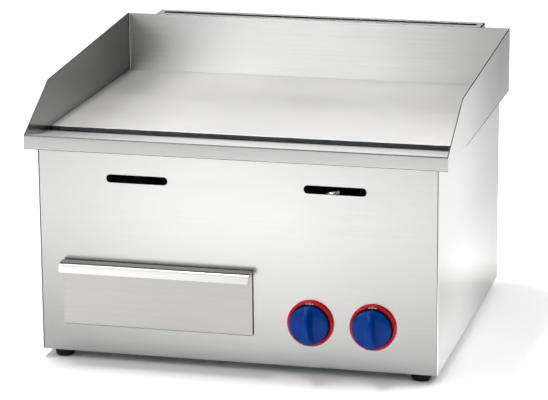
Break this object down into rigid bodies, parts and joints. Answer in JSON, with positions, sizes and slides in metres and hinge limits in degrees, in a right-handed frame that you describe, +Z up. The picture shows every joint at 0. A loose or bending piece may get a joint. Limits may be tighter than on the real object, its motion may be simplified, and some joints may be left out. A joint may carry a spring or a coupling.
{
  "type": "flat top griddle",
  "caption": "Countertop gas griddle: stainless cabinet, flat steel plate inside splash guards, front grease drawer, red-and-blue control knobs, rear flue.",
  "frame": {"origin": "on the ground, under the middle of the whole object's bounding box", "axes": "+X to the right as seen from the front, along the longest side; +Y from the front with the knobs towards the flue; +Z up"},
  "size_m": [0.61, 0.578, 0.4105],
  "materials": {
    "stainless": "fine brushed",
    "drawer_steel": "fine brushed",
    "plate_steel": "ground",
    "dark_steel": "heat-darkened",
    "galvanised": "zinc-coated sheet",
    "brass": "machined",
    "aluminium": "cast",
    "zinc": "bright zinc-plated",
    "red_plastic": "gloss",
    "blue_plastic": "gloss",
    "rubber": "matt"
  },
  "bodies": {
    "chassis": {"front_panel": "stainless", "left_side_panel": "stainless", "right_side_panel": "stainless", "rear_panel": "stainless", "front_trough": "stainless", "left_splash_guard": "stainless", "right_splash_guard": "stainless", "rear_splash_guard": "stainless", "flue_duct": "stainless", "flue_cap": "stainless", "grease_chute": "stainless", "griddle_plate": "plate_steel", "left_burner_tube": "dark_steel", "right_burner_tube": "dark_steel", "base_pan": "galvanised", "left_plate_rail": "galvanised", "right_plate_rail": "galvanised", "left_drawer_runner": "galvanised", "right_drawer_runner": "galvanised", "front_burner_bracket": "galvanised", "rear_burner_bracket": "galvanised", "heat_shield": "galvanised", "manifold_pipe": "galvanised", "left_injector": "brass", "right_injector": "brass", "left_valve_body": "brass", "right_valve_body": "brass", "left_valve_bonnet": "brass", "right_valve_bonnet": "brass", "gas_inlet_nipple": "brass", "left_venturi": "aluminium", "right_venturi": "aluminium", "left_feed_tube": "aluminium", "right_feed_tube": "aluminium", "front_left_foot_screw": "zinc", "front_right_foot_screw": "zinc", "rear_left_foot_screw": "zinc", "rear_right_foot_screw": "zinc", "left_lower_rear_screw": "zinc", "left_upper_rear_screw": "zinc", "right_lower_rear_screw": "zinc", "right_upper_rear_screw": "zinc", "left_bezel": "red_plastic", "right_bezel": "red_plastic", "front_left_foot": "rubber", "front_right_foot": "rubber", "rear_left_foot": "rubber", "rear_right_foot": "rubber"},
    "drawer": {"drawer_front": "drawer_steel", "grease_tray": "stainless"},
    "left_plug": {"left_valve_plug": "brass", "left_valve_spring": "zinc"},
    "right_plug": {"right_valve_plug": "brass", "right_valve_spring": "zinc"},
    "left_control": {"left_knob": "blue_plastic", "left_spindle": "zinc"},
    "right_control": {"right_knob": "blue_plastic", "right_spindle": "zinc"},
    "left_shutter": {"left_air_shutter": "aluminium"},
    "right_shutter": {"right_air_shutter": "aluminium"}
  },
  "joints": [
    {"name": "drawer_slide", "type": "slide", "parent": "chassis", "child": "drawer", "axis": [0, -1, 0], "range_m": [0, 0.3]},
    {"name": "left_valve_turn", "type": "hinge", "parent": "chassis", "child": "left_plug", "pos_m": [0.108, -0.249, 0.078], "axis": [0, -1, 0], "range_deg": [0, 180]},
    {"name": "left_knob_press", "type": "slide", "parent": "left_plug", "child": "left_control", "axis": [0, 1, 0], "range_m": [0, 0.003], "stiffness_N_per_m": 400, "springref_m": -0.008},
    {"name": "left_shutter_turn", "type": "hinge", "parent": "chassis", "child": "left_shutter", "pos_m": [-0.0935, -0.1985, 0.262], "axis": [0, -1, 0], "range_deg": [0, 45]},
    {"name": "right_valve_turn", "type": "hinge", "parent": "chassis", "child": "right_plug", "pos_m": [0.198, -0.249, 0.078], "axis": [0, -1, 0], "range_deg": [0, 180]},
    {"name": "right_knob_press", "type": "slide", "parent": "right_plug", "child": "right_control", "axis": [0, 1, 0], "range_m": [0, 0.003], "stiffness_N_per_m": 400, "springref_m": -0.008},
    {"name": "right_shutter_turn", "type": "hinge", "parent": "chassis", "child": "right_shutter", "pos_m": [0.1935, -0.1985, 0.262], "axis": [0, -1, 0], "range_deg": [0, 45]}
  ]
}
